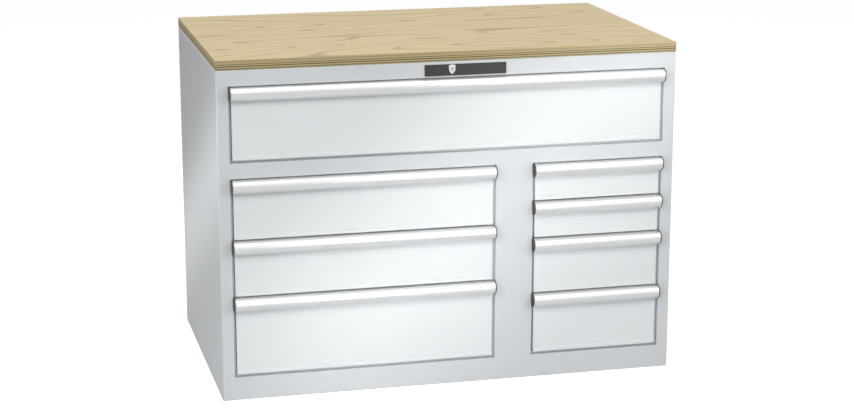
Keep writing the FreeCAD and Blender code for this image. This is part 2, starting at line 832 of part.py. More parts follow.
def lock_cam():
    """The cam on the plug's inner end, whose pin works in the slot of the locking frame."""
    body = new_body("lock_cam", z=LOCK_LEVEL)
    start = "barrel_length + cam_gap"
    end = f"{start} + cam_thickness"
    edge = "((cam_pin_radius + cam_rim) / sqrt(2))"
    web = [
        (f"-{edge}", edge),
        (edge, f"-{edge}"),
        (f"{PIN_REACH} + {edge}", f"{PIN_REACH} - {edge}"),
        (f"{PIN_REACH} - {edge}", f"{PIN_REACH} + {edge}"),
    ]
    pad(body, "XZ_Plane", [web], start, end)
    pad(body, "XZ_Plane", [("0", "0", "plug_radius")], start, end)
    pad(body, "XZ_Plane", [(PIN_REACH, PIN_REACH, "cam_pin_radius + cam_rim")], start, end)
    tip = "frame_setback + frame_thickness + cam_gap"
    pad(body, "XZ_Plane", [(PIN_REACH, PIN_REACH, "cam_pin_radius")], end, tip)


def locking_frame():
    """A beam behind the header with a bar down each side and a hook for each drawer's lug."""
    body = new_body("locking_frame")
    thickness = ("frame_setback", "frame_setback + frame_thickness")
    bar_outer = f"({HALF} - bar_inset)"
    bar_inner = f"({bar_outer} - bar_width)"
    beam_foot = f"{PIN_LEVEL} - beam_height / 2"
    beam_top = f"{PIN_LEVEL} + beam_height / 2"
    beam = rectangle(f"-{bar_outer}", bar_outer, beam_foot, beam_top)
    room = "(cam_pin_radius + pin_play)"
    slot = rectangle(
        f"{PIN_REACH} - {room}",
        f"cam_radius + {room}",
        f"{PIN_LEVEL} - {room}",
        f"{PIN_LEVEL} + {room}",
    )
    pad(body, "XZ_Plane", [beam, slot], *thickness)
    foot = "base_height + bar_clearance"
    bars = [
        rectangle(f"{side} * {bar_inner}", f"{side} * {bar_outer}", foot, beam_top)
        for side in (-1, 1)
    ]
    pad(body, "XZ_Plane", bars, *thickness)
    tip = f"({HALF} - stile_width - {TRAY_MARGIN} + hook_gap)"
    for drawer in DRAWERS:
        low = f"{drawer.foot} + {HOOK_FOOT}"
        hooks = [
            rectangle(f"{side} * {bar_inner}", f"{side} * {tip}", low, f"{low} + hook_height")
            for side in LOCKED_SIDES[drawer.bay]
        ]
        pad(body, "XZ_Plane", hooks, *thickness)


def bar_guides():
    """Four slotted guides on the side walls, in which the bars of the locking frame slide."""
    body = new_body("bar_guides")
    wall = f"({HALF} - steel)"
    near = "frame_setback - guide_play"
    far = "frame_setback + frame_thickness + guide_play"
    outer = f"({HALF} - bar_inset + guide_play)"
    inner = f"({HALF} - bar_inset - bar_width - guide_play)"
    shapes = []
    for side in (-1, 1):
        block_end = f"{side} * ({inner} - guide_wall)"
        block_sides = (f"{near} - guide_wall", f"{far} + guide_wall")
        shapes.append(rectangle(f"{side} * {wall}", block_end, *block_sides))
        shapes.append(rectangle(f"{side} * {outer}", f"{side} * {inner}", near, far))
    for foot in ("base_height + guide_rise", f"{TOP_OPENING_TOP} - guide_drop"):
        pad(body, "XY_Plane", shapes, foot, f"{foot} + guide_height")


def check_document():
    """Stop if any object failed, or a body is empty or not valid."""
    for item in document.Objects:
        if "Invalid" in item.State or "Error" in item.State:
            raise RuntimeError(f"{item.Label} failed: {item.State}")
    for body in bodies:
        if body.Shape.isNull() or not body.Shape.isValid():
            raise RuntimeError(f"{body.Label} is empty or not valid")


def write_parts():
    os.makedirs("parts", exist_ok=True)
    for body in bodies:
        body.Shape.exportStep(f"parts/{body.Label}.step")


side_panel("side_panel_left", -1)
side_panel("side_panel_right", 1)
for build in (base_pan, front_sill, front_header, front_crossbar, front_mullion, centre_partition,
              back_panel, top_panel, worktop, worktop_screws, rail_uprights, cabinet_rails,
              lock_strip, lock_barrel, lock_plug, lock_cam, locking_frame, bar_guides):
    build()
for each in DRAWERS:
    for build in (tray, front, handle, handle_caps, carriages):
        build(each)

document.recompute()
check_document()
write_parts()
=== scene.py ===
import json
import math

import bmesh
import bpy
from mathutils import Matrix, Vector

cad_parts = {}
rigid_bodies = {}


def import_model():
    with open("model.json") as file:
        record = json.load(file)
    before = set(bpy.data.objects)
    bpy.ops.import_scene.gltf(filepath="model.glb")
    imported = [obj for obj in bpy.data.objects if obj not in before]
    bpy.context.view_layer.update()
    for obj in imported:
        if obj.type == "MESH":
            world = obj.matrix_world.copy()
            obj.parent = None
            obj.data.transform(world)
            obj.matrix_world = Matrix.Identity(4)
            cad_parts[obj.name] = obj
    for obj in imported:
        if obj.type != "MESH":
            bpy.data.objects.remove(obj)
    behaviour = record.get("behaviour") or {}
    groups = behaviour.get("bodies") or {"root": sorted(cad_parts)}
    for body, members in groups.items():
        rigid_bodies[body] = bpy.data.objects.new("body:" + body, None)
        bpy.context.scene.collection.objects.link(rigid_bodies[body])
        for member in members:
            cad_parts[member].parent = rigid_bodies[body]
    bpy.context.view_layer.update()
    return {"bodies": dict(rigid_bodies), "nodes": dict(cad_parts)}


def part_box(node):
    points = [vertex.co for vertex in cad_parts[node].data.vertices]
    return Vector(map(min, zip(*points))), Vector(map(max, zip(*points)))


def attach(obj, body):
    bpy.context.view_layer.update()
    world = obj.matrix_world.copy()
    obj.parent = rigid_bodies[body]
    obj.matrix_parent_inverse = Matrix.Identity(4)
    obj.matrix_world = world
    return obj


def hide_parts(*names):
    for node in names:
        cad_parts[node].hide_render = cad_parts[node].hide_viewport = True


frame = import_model()

bl_info = {
    "name": "Multi-drawer cabinet",
    "version": (1, 0, 0),
    "blender": (4, 5, 0),
    "location": "3D View > Sidebar > Cabinet",
    "description": "Folded sheet steel, bar handles, plywood top and studio for the drawer cabinet",
    "category": "Object",
}

MM = 0.001
DRAWERS = [body for body in frame["bodies"] if f"{body}_front" in frame["nodes"]]
SIDES = {"left": -1, "right": 1}
FRONT_FACE, BACK_FACE = (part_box("side_panel_left")[end].y for end in (0, 1))
BASE_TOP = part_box("front_mullion")[0].z
# The turn from one facet of a fold to the next, and the turn below which edges look smooth.
FOLD_STEP = math.radians(12)
SMOOTH_ANGLE = math.radians(38)
CIRCLE_STEPS = 48
TURNS = [math.tau * step / CIRCLE_STEPS for step in range(CIRCLE_STEPS)]
CIRCLE = [(math.cos(turn), math.sin(turn)) for turn in TURNS]
# Keeps a division off zero where a direction lies along one axis.
TINY = 1e-6

# Where the face veneer was cut, how far its grain is drawn out, and how many rings it shows.
GRAIN_PLACE = (0.31, 0.23, 0.4)
GRAIN_STRETCH = (0.2, 1, 1)
GRAIN_RINGS = 23

# Plies that show end grain: the share of the board's height, and how dark each has gone.
DARK_PLIES = ((0.1, 0.8), (0.33, 1.0), (0.53, 0.75), (0.79, 0.4))
# In shares of the board's height: half of a ply's dark core, half of it with its soft
# borders, and how far the plies waver up and down.
PLY_CORE = 0.03
PLY_REACH = 0.055
PLY_WAVER = 0.04

# The camera stands where the corners of the photographed cabinet put it.
CAMERA_PLACE = (-1.2509, -5.1631, 1.7108)
CAMERA_YAW = math.radians(-13.854)
CAMERA_PITCH = math.radians(90 - 13.93)
CAMERA_LENS = 84.67
SENSOR_WIDTH = 36

# Name, place, point aimed at, width and height in metres, roll and spread in degrees, watts.
LAMPS = (
    # Two big soft boxes, high at either side, and weaker ones over the cabinet.
    ("soft_box_left", (-3.0, -2.7, 3.0), (-0.1, -0.3, 0.45), 1.6, 1.6, 0, 180, 67),
    ("soft_box_right", (3.0, -2.7, 3.0), (0.1, -0.3, 0.45), 1.6, 1.6, 0, 180, 58),
    ("soft_box_middle", (-0.9, -2.3, 3.8), (0, -0.3, 0.45), 1.8, 1.8, 0, 180, 12),
    ("soft_box_over", (0, 0.3, 3.4), (0, 0.1, 0.8), 2.5, 2.5, 0, 180, 24),
    # Two low ones at the sides, which light the edges and the corners.
    ("low_box_left", (-3.0, -2.2, 0.9), (-0.2, -0.3, 0.4), 1.6, 1.4, 0, 180, 7),
    ("low_box_right", (3.2, -2.0, 0.9), (0.2, -0.3, 0.4), 1.6, 1.4, 0, 180, 14),
    # A weak wide one in front, which widens the white band along the handles.
    ("front_box", (-0.4, -5.0, 1.3), (0, -0.3, 0.45), 3, 2, 0, 180, 2),
    # Gridded strips, which draw the slanting bands of light over the fronts and the side.
    ("front_strip", (0.02, -2.15, 0.41), (0.02, -0.352, 0.41), 2.4, 0.15, 44, 25, 0.84),
    ("front_wide_strip", (0.16, -2.15, 0.36), (0.16, -0.352, 0.36), 2.4, 0.6, 44, 40, 0.7),
    ("side_strip", (-1.9, 0.008, 0.43), (-0.6, 0.008, 0.43), 1.6, 0.12, 27, 20, 0.5),
)
# What the floor glows with where the camera sees it, and where metal or glass mirrors it.
FLOOR_LIFT = 0.8
MIRRORED_FLOOR_LIFT = 0.1
FLOOR_REACH = 30
FLOOR_CORNERS = ((-1, -1), (1, -1), (1, 1), (-1, 1))
FLOOR_DROP = 0.5 * MM
# The studio's walls light the cabinet this much, a shade bluer than the lamps.
FILL_COLOUR = (0.98, 0.99, 1, 1)
FILL_STRENGTH = 0.13


def linear(code):
    """The linear red, green and blue of an sRGB hex colour."""
    parts = [int(code[place : place + 2], 16) / 255 for place in (1, 3, 5)]
    return [part / 12.92 if part < 0.04045 else ((part + 0.055) / 1.055) ** 2.4 for part in parts]


def length(name, description, millimetres):
    """A size that the user can change."""
    return bpy.props.FloatProperty(
        name=name,
        description=description,
        default=millimetres * MM,
        min=0,
        precision=4,
        unit="LENGTH",
        subtype="DISTANCE",
    )


def colour(name, description, code):
    """A colour that the user can change."""
    return bpy.props.FloatVectorProperty(
        name=name,
        description=description,
        default=linear(code),
        size=3,
        min=0,
        max=1,
        subtype="COLOR",
    )


class CabinetSizes(bpy.types.PropertyGroup):
    """Sizes of the folds, edges and small details that the solids leave plain."""

    steel: length("Housing steel", "Gauge of the housing's sheet", 1.5)
    stile_width: length("Stile width", "Width of the uprights beside the drawers", 31)
    rebate_depth: length("Rebate depth", "How far the openings' rebate reaches back", 12.5)
    rebate_lip: length("Rebate lip", "How far the rebate's lip reaches into an opening", 6)
    rear_flange: length("Rear flange", "Width of the side walls' flange before the back", 20.5)
    corner_fold: length("Corner fold", "Outer radius of the folds at the front corners", 3.7)
    top_fold: length("Top fold", "Outer radius of the folds under the worktop", 4.5)
    opening_fold: length("Opening fold", "Outer radius of the folds round the openings", 1.2)
    lip_fold: length("Lip fold", "Radius of the fold between rebate and lip", 0.5)
    front_steel: length("Front steel", "Gauge of the drawer fronts' sheet", 1.2)
    front_fold: length("Front fold", "Outer radius of the folds round a drawer front", 1.8)
    crease_fold: length("Crease fold", "Radius of the crease above a front's kicked foot", 0.6)
    foot_height: length("Foot height", "Height of a front's kicked foot", 9.5)
    foot_kick: length("Foot kick", "How far the foot stands forward", 1.5)
    seam: length("Seam", "Gap between a side wall and the base below it", 1)
    handle_top_radius: length("Handle top radius", "Radius of a handle's upper bow", 14)
    handle_lower_radius: length("Handle lower radius", "Radius of a handle's lower bow", 21.4)
    handle_wall: length("Handle wall", "Wall of the extruded handle", 2)
    cap_overhang: length("Cap overhang", "How far the end caps stand proud of a handle", 0.4)
    cap_edge: length("Cap edge", "Rounding of the end caps' edges", 0.9)
    strip_corner: length("Strip corner", "Corner radius of the lock's cover strip", 1.5)
    strip_edge: length("Strip edge", "Rounding round the face of the cover strip", 0.6)
    shield_shoulder: length("Shield shoulder", "Height of its shoulders over the centre", 8.5)
    shield_waist: length("Shield waist", "Height over the centre from which the shield tapers", 1)
    shield_crown: length("Shield crown", "Radius of the shield's upper edge", 16)
    shield_side: length("Shield side", "Radius of the shield's lower sides", 18)
    shield_rim: length("Shield rim", "Width of the raised rim round the shield", 1.2)
    shield_step: length("Shield step", "Height of the rim over the shield's field", 0.5)
    barrel_radius: length("Barrel radius", "Radius of the lock's barrel behind the header", 7.5)
    key_slot_width: length("Key slot width", "Width of the slot for the key", 2)
    key_slot_height: length("Key slot height", "Height of the slot for the key", 7)
    edge: length("Edge", "Rounding of a sheared or moulded edge", 0.3)
    worktop_edge: length("Worktop edge", "Rounding of the board's upper edges", 1)


class CabinetColours(bpy.types.PropertyGroup):
    """Colours of the cabinet's finishes."""

    housing: colour("Housing", "Powder coat of the housing", "#D6D9DB")
    front: colour("Fronts", "Powder coat of the drawer fronts", "#E7EAEB")
    tray: colour("Trays", "Powder coat of the drawer trays", "#CDD2D6")
    handle: colour("Handles", "Anodised aluminium of the handles", "#E0E1E2")
    cap: colour("End caps", "Moulded end caps of the handles", "#454543")
    strip: colour("Lock strip", "Cover strip round the lock", "#2C2B28")
    chrome: colour("Lock", "Satin chrome of the lock", "#CBCBCA")
    zinc: colour("Slides", "Zinc plating of slides and locking bars", "#C3C6C9")
    wood: colour("Board face", "Face veneer of the board", "#E1CB9B")
    grain: colour("Grain", "Grain lines of the face veneer", "#B39B6C")
    light_ply: colour("Light plies", "Plies that show side grain", "#BBA97D")
    dark_ply: colour("Dark plies", "Plies that show end grain", "#463C29")
    floor: colour("Floor", "Studio floor", "#F2F3F4")


def turned(vector, angle):
    """A flat vector after an anticlockwise turn."""
    return Matrix.Rotation(angle, 2) @ vector


def folded(points):
    """An open line through (u, v) points; a third number is the fold radius at that point."""
    line = []
    for index, point in enumerate(points):
        corner = Vector(point[:2])
        if len(point) == 2:
            line.append(corner)
            continue
        before = (Vector(points[index - 1][:2]) - corner).normalized()
        after = (Vector(points[(index + 1) % len(points)][:2]) - corner).normalized()
        bend = math.pi - before.angle(after)
        centre = corner + (before + after).normalized() * (point[2] / math.cos(bend / 2))
        start = corner + before * (point[2] * math.tan(bend / 2)) - centre
        end = corner + after * (point[2] * math.tan(bend / 2)) - centre
        sweep = math.atan2(start.x * end.y - start.y * end.x, start.dot(end))
        steps = max(2, math.ceil(bend / FOLD_STEP))
        line += [centre + turned(start, sweep * step / steps) for step in range(steps + 1)]
    return line


def sheet_section(points, gauge):
    """Closed outline of a folded sheet: its visible line, and the hidden one a gauge behind.

    A positive gauge lies to the left of the line and a negative one to the right.
    """
    line = folded(points)
    hidden = []
    for index, place in enumerate(line):
        ways = [line[index] - line[index - 1]] if index else []
        ways += [line[index + 1] - place] if index + 1 < len(line) else []
        normals = [turned(way.normalized(), math.pi / 2) for way in ways]
        middle = sum(normals, Vector((0, 0))).normalized()
        hidden.append(place + middle * (gauge / middle.dot(normals[0])))
    return line + hidden[::-1]


def arc_points(start, end, radius, steps=10):
    """Points on the short anticlockwise arc between two points, without the end point."""
    start, end = Vector(start), Vector(end)
    chord = end - start
    reach = math.sqrt(max(radius**2 - (chord.length / 2) ** 2, 0))
    centre = (start + end) / 2 + turned(chord.normalized(), math.pi / 2) * reach
    first, last = start - centre, end - centre
    sweep = math.atan2(first.x * last.y - first.y * last.x, first.dot(last))
    return [centre + turned(first, sweep * step / steps) for step in range(steps)]


def along_x(u, v, w):
    """A point of an outline that is carried along the width."""
    return (w, u, v)


def along_y(u, v, w):
    """A point of an outline that is carried from front to back."""
    return (u, w, v)


def along_z(u, v, w):
    """A point of an outline that is carried upwards."""
    return (u, v, w)


def add_skin(bm, rings, closed_ends=True):
    """Stretch faces from ring to ring of points, and close the first and the last ring.

    Without closed ends, the last ring is joined to the first.
    """
    rows = [[bm.verts.new(point) for point in ring] for ring in rings]
    pairs = list(zip(rows, rows[1:])) + ([] if closed_ends else [(rows[-1], rows[0])])
    faces = []
    for near, far in pairs:
        for index in range(len(near)):
            after = (index + 1) % len(near)
            faces.append(bm.faces.new((near[index], near[after], far[after], far[index])))
    if closed_ends:
        faces += [bm.faces.new(rows[0]), bm.faces.new(rows[-1])]
    bmesh.ops.recalc_face_normals(bm, faces=faces)


def add_prism(bm, outline, place, low, high):
    """Carry a closed outline from one level to another and close both ends."""
    add_skin(bm, [[place(*point, level) for point in outline] for level in (low, high)])


def add_plate(bm, low, high):
    """A flat piece of sheet between two corners."""
    outline = [(low[0], low[1]), (high[0], low[1]), (high[0], high[1]), (low[0], high[1])]
    add_prism(bm, outline, along_z, low[2], high[2])


def round_edges(piece, width):
    """Round every edge that is still sharp."""
    bevel = piece.modifiers.new("edges", "BEVEL")
    bevel.width = width
    bevel.segments = 2
    bevel.limit_method = "ANGLE"
    bevel.angle_limit = SMOOTH_ANGLE
    bevel.use_clamp_overlap = True


def keep_flats(piece):
    """Shade flat faces flat beside the rounds that they run into."""
    weighted = piece.modifiers.new("shading", "WEIGHTED_NORMAL")
    weighted.keep_sharp = True
    # The most that it takes: the largest face decides.
    weighted.weight = 100


def new_piece(name, bm, finishes, body, nodes, rounding=None):
    """Turn a mesh in the making into a piece that rides on a body in place of its nodes."""
    bm.normal_update()
    for edge in bm.edges:
        edge.smooth = not edge.is_manifold or edge.calc_face_angle() < SMOOTH_ANGLE
    mesh = bpy.data.meshes.new(name)
    bm.to_mesh(mesh)
    bm.free()
    for face in mesh.polygons:
        face.use_smooth = True
    piece = bpy.data.objects.new(name, mesh)
    bpy.context.scene.collection.objects.link(piece)
    for finish in finishes:
        mesh.materials.append(finish_of(finish))
    if rounding:
        round_edges(piece, rounding)
    keep_flats(piece)
    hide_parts(*nodes)
    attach(piece, body)
    return piece


def dress(finish, *nodes):
    """Give CAD nodes a finish, in their own material slots."""
    for node in nodes:
        for slot in frame["nodes"][node].material_slots:
            slot.material = finish_of(finish)


def add_node(tree, kind, settings=None, links=None, feeds=None):
    """Add a node with its settings and links, and let its first output feed a socket."""
    node = tree.nodes.new(kind)
    for name, value in (settings or {}).items():
        if isinstance(name, int) or name in node.inputs:
            node.inputs[name].default_value = value
        else:
            setattr(node, name, value)
    for name, source in (links or {}).items():
        tree.links.new(source, node.inputs[name])
    if feeds is not None:
        tree.links.new(node.outputs[0], feeds)
    return node


def new_material(name):
    """A material with its shader, and the object's own coordinates, which are in metres."""
    material = bpy.data.materials.new(name)
    material.use_nodes = True
    tree = material.node_tree
    place = add_node(tree, "ShaderNodeTexCoord").outputs["Object"]
    return material, tree, tree.nodes["Principled BSDF"], place


def set_shader(shader, colour, roughness, metallic=0.0, **sockets):
    """Set what is the same all over a surface, on the shader's own sockets."""
    shader.inputs["Base Color"].default_value = (*colour, 1)
    shader.inputs["Roughness"].default_value = roughness
    shader.inputs["Metallic"].default_value = metallic
    for name, value in sockets.items():
        shader.inputs[name.replace("_", " ")].default_value = value


def per_metre(millimetres):
    """The texture scale at which a pattern comes out this size."""
    return 1 / (millimetres * MM)


def vary(tree, shader, place, colour, spread, size):
    """Let the colour drift by this share over patches of this size in millimetres."""
    patches = add_node(
        tree,
        "ShaderNodeTexNoise",
        {"Scale": per_metre(size), "Detail": 3.0, "Roughness": 0.5},
        {"Vector": place},
    )
    ramp = add_node(
        tree,
        "ShaderNodeValToRGB",
        None,
        {"Fac": patches.outputs["Fac"]},
        shader.inputs["Base Color"],
    )
    stops = ramp.color_ramp.elements
    for stop, position, share in zip(stops, (0.3, 0.7), (1 - spread, 1 + spread)):
        stop.position = position
        stop.color = (*[min(1, part * share) for part in colour], 1)


def vary_roughness(tree, shader, place, size, detail, smoothest, roughest):
    """Let the roughness run between two values over a pattern of this size in millimetres."""
    pattern = add_node(
        tree,
        "ShaderNodeTexNoise",
        {"Scale": per_metre(size), "Detail": detail},
        {"Vector": place},
    )
    add_node(
        tree,
        "ShaderNodeMapRange",
        {"To Min": smoothest, "To Max": roughest},
        {"Value": pattern.outputs["Fac"]},
        shader.inputs["Roughness"],
    )
    return pattern


def powder_coat(name, colour, roughness):
    """Polyester powder coat, baked on steel sheet.

    The melt levels to a soft orange peel, so lights spread a little and edges stay clean.
    """
    material, tree, shader, place = new_material(name)
    set_shader(shader, colour, roughness, IOR=1.5)
    vary(tree, shader, place, colour, 0.012, 260)
    # Real peel is about 1.5 mm across; it is drawn at 3 mm so that it shows at all.
    peel = add_node(
        tree,
        "ShaderNodeTexNoise",
        {"Scale": per_metre(3), "Detail": 1.5, "Roughness": 0.4},
        {"Vector": place},
    )
    add_node(
        tree,
        "ShaderNodeBump",
        {"Strength": 0.5, "Distance": 0.02 * MM},
        {"Height": peel.outputs["Fac"]},
        shader.inputs["Normal"],
    )
    return material


def anodised_aluminium(colour):
    """Extruded aluminium, pickled and clear anodised.

    The die leaves faint lines along the bar, which spread the highlights across it.
    """
    material, tree, shader, place = new_material("anodised_aluminium")
    set_shader(shader, colour, 0.42, 1.0)
    stretch = add_node(tree, "ShaderNodeMapping", {"Scale": (0.01, 1, 1)}, {"Vector": place})
    # Real die lines are about 0.2 mm wide; they are drawn at 1.2 mm so that they show at all.
    along = stretch.outputs["Vector"]
    lines = vary_roughness(tree, shader, along, 1.2, 3.0, 0.36, 0.48)
    add_node(
        tree,
        "ShaderNodeBump",
        {"Strength": 0.4, "Distance": 0.01 * MM},
        {"Height": lines.outputs["Fac"]},
        shader.inputs["Normal"],
    )
    return material


def moulded_plastic(name, colour, roughness, grain, depth):
    """ABS from a spark-eroded mould, whose fine grit leaves an even matt grain.

    The grain is in millimetres, a little coarser than the real grit so that it shows.
    """
    material, tree, shader, place = new_material(name)
    set_shader(shader, colour, roughness, IOR=1.53)
    vary(tree, shader, place, colour, 0.04, 40)
    grit = add_node(
        tree,
        "ShaderNodeTexVoronoi",
        {"Scale": per_metre(grain)},
        {"Vector": place},
    )
    add_node(
        tree,
        "ShaderNodeBump",
        {"Strength": 0.6, "Distance": depth * MM},
        {"Height": grit.outputs["Distance"]},
        shader.inputs["Normal"],
    )
    return material


def satin_chrome(colour):
    """Chrome over a satin-brushed zinc casting: a bright, slightly soft mirror.

    The brushing is far finer than 0.8 mm; it is drawn that coarse so that it shows at all.
    """
    material, tree, shader, place = new_material("satin_chrome")
    set_shader(shader, colour, 0.28, 1.0)
    vary_roughness(tree, shader, place, 0.8, 2.0, 0.22, 0.36)
    return material


def zinc_plate(colour):
    """Electroplated bright zinc on cold-rolled steel, with a faint cloudy bloom."""
    material, tree, shader, place = new_material("zinc_plated_steel")
    set_shader(shader, colour, 0.38, 1.0)
    vary(tree, shader, place, colour, 0.06, 35)
    vary_roughness(tree, shader, place, 18, 4.0, 0.3, 0.46)
    return material


def beech_face(wood, grain):
    """Rotary-cut beech veneer, sanded and oiled.

    The cut runs along the growth rings, so the grain shows as long thin loops along the board.
    """
    material, tree, shader, place = new_material("oiled_beech_veneer")
    set_shader(shader, wood, 0.5, IOR=1.46)
    # Rings come out as level lines of a slow noise, about five times as long as they are wide.
    stretch = add_node(
        tree,
        "ShaderNodeMapping",
        {"Location": GRAIN_PLACE, "Scale": GRAIN_STRETCH},
        {"Vector": place},
    )
    rings = add_node(
        tree,
        "ShaderNodeTexNoise",
        {"Scale": per_metre(240), "Detail": 1.0, "Roughness": 0.3, "Distortion": 0.3},
        {"Vector": stretch.outputs["Vector"]},
    )
    count = add_node(
        tree,
        "ShaderNodeMath",
        {"operation": "MULTIPLY", 1: GRAIN_RINGS},
        {0: rings.outputs["Fac"]},
    )
    wrapped = add_node(tree, "ShaderNodeMath", {"operation": "FRACT"}, {0: count.outputs[0]})
    line = add_node(tree, "ShaderNodeValToRGB", None, {"Fac": wrapped.outputs[0]})
    stops = line.color_ramp.elements
    stops[0].position, stops[0].color = 0.0, (0, 0, 0, 1)
    stops[1].position, stops[1].color = 0.1, (1, 1, 1, 1)
    stops.new(0.2).color = (0, 0, 0, 1)
    # Pores are short dashes under 1 mm wide; they are drawn 3 mm wide to show as a soft fleck.
    fleck_place = add_node(tree, "ShaderNodeMapping", {"Scale": (0.06, 1, 1)}, {"Vector": place})
    fleck = add_node(
        tree,
        "ShaderNodeTexNoise",
        {"Scale": per_metre(3), "Detail": 2.0},
        {"Vector": fleck_place.outputs["Vector"]},
    )
    base = add_node(
        tree,
        "ShaderNodeMix",
        {"data_type": "RGBA"},
        {"Factor": fleck.outputs["Fac"]},
    )
    base.inputs[6].default_value = (*wood, 1)
    base.inputs[7].default_value = (*[part * 0.955 for part in wood], 1)
    tint = add_node(
        tree,
        "ShaderNodeMix",
        {"data_type": "RGBA"},
        {"Factor": line.outputs["Color"], 6: base.outputs[2]},
    )
    tint.inputs[7].default_value = (*grain, 1)
    tree.links.new(tint.outputs[2], shader.inputs["Base Color"])
    add_node(
        tree,
        "ShaderNodeBump",
        {"Strength": 0.3, "Distance": 0.03 * MM},
        {"Height": fleck.outputs["Fac"]},
        shader.inputs["Normal"],
    )
    return material


def ply_edge(light, dark, low, high):
    """The board's sawn edge: crossed plies, light where they show side grain.

    The plies across the cut show end grain, which drinks the oil and goes dark.
    """
    material, tree, shader, place = new_material("sawn_ply_edge")
    set_shader(shader, light, 0.6, IOR=1.46)
    waver = add_node(
        tree,
        "ShaderNodeTexNoise",
        {"Scale": per_metre(70), "Detail": 2.0},
        {"Vector": place},
    )
    split = add_node(tree, "ShaderNodeSeparateXYZ", None, {"Vector": place})
    level = add_node(
        tree,
        "ShaderNodeMapRange",
        {
            "From Min": low,
            "From Max": high,
            "To Min": -PLY_WAVER / 2,
            "To Max": 1 - PLY_WAVER / 2,
            "clamp": False,
        },
        {"Value": split.outputs["Z"]},
    )
    shift = add_node(
        tree,
        "ShaderNodeMath",
        {"operation": "MULTIPLY_ADD", 1: PLY_WAVER},
        {0: waver.outputs["Fac"], 2: level.outputs["Result"]},
    )
    ramp = add_node(tree, "ShaderNodeValToRGB", None, {"Fac": shift.outputs[0]})
    stops = ramp.color_ramp.elements
    stops[0].position, stops[0].color = 0.0, (*light, 1)
    stops[1].position, stops[1].color = 1.0, (*light, 1)
    for height, share in DARK_PLIES:
        tone = [side + (end - side) * share for side, end in zip(light, dark)]
        stops.new(height - PLY_REACH).color = (*light, 1)
        stops.new(height - PLY_CORE).color = (*tone, 1)
        stops.new(height + PLY_CORE).color = (*tone, 1)
        stops.new(height + PLY_REACH).color = (*light, 1)
    # Cut fibres are far finer; they are drawn 2.5 mm wide so that the edge looks sawn.
    pores = add_node(
        tree,
        "ShaderNodeTexNoise",
        {"Scale": per_metre(2.5), "Detail": 3.0},
        {"Vector": place},
    )
    shade = add_node(
        tree,
        "ShaderNodeMapRange",
        {"To Min": 0.86, "To Max": 1.1},
        {"Value": pores.outputs["Fac"]},
    )
    mixed = add_node(
        tree,
        "ShaderNodeMix",
        {"data_type": "RGBA", "blend_type": "MULTIPLY", "Factor": 1.0},
        {6: ramp.outputs["Color"], 7: shade.outputs["Result"]},
    )
    tree.links.new(mixed.outputs[2], shader.inputs["Base Color"])
    add_node(
        tree,
        "ShaderNodeBump",
        {"Strength": 0.4, "Distance": 0.08 * MM},
        {"Height": pores.outputs["Fac"]},
        shader.inputs["Normal"],
    )
    return material


# Finishes that are already made, by name.
MATERIALS = {}


def finish_of(name):
    """A finish by name, made when it is first asked for."""
    colours = bpy.context.scene.cabinet_colours
    board_low, board_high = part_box("worktop")
    makers = {
        "housing": lambda: powder_coat("housing_powder_coat", colours.housing, 0.32),
        "front": lambda: powder_coat("front_powder_coat", colours.front, 0.3),
        "tray": lambda: powder_coat("tray_powder_coat", colours.tray, 0.42),
        "handle": lambda: anodised_aluminium(colours.handle),
        "cap": lambda: moulded_plastic("moulded_end_cap", colours.cap, 0.5, 1.2, 0.03),
        "strip": lambda: moulded_plastic("moulded_lock_strip", colours.strip, 0.45, 1.5, 0.02),
        "chrome": lambda: satin_chrome(colours.chrome),
        "zinc": lambda: zinc_plate(colours.zinc),
        "wood": lambda: beech_face(colours.wood, colours.grain),
        "ply": lambda: ply_edge(colours.light_ply, colours.dark_ply, board_low.z, board_high.z),
    }
    if name not in MATERIALS:
        MATERIALS[name] = makers[name]()
    return MATERIALS[name]


class CabinetPiece:
    """What every operator that makes a piece shares."""

    bl_options = {"REGISTER", "UNDO"}

    def execute(self, context):
        self.make(context.scene.cabinet_sizes)
        return {"FINISHED"}


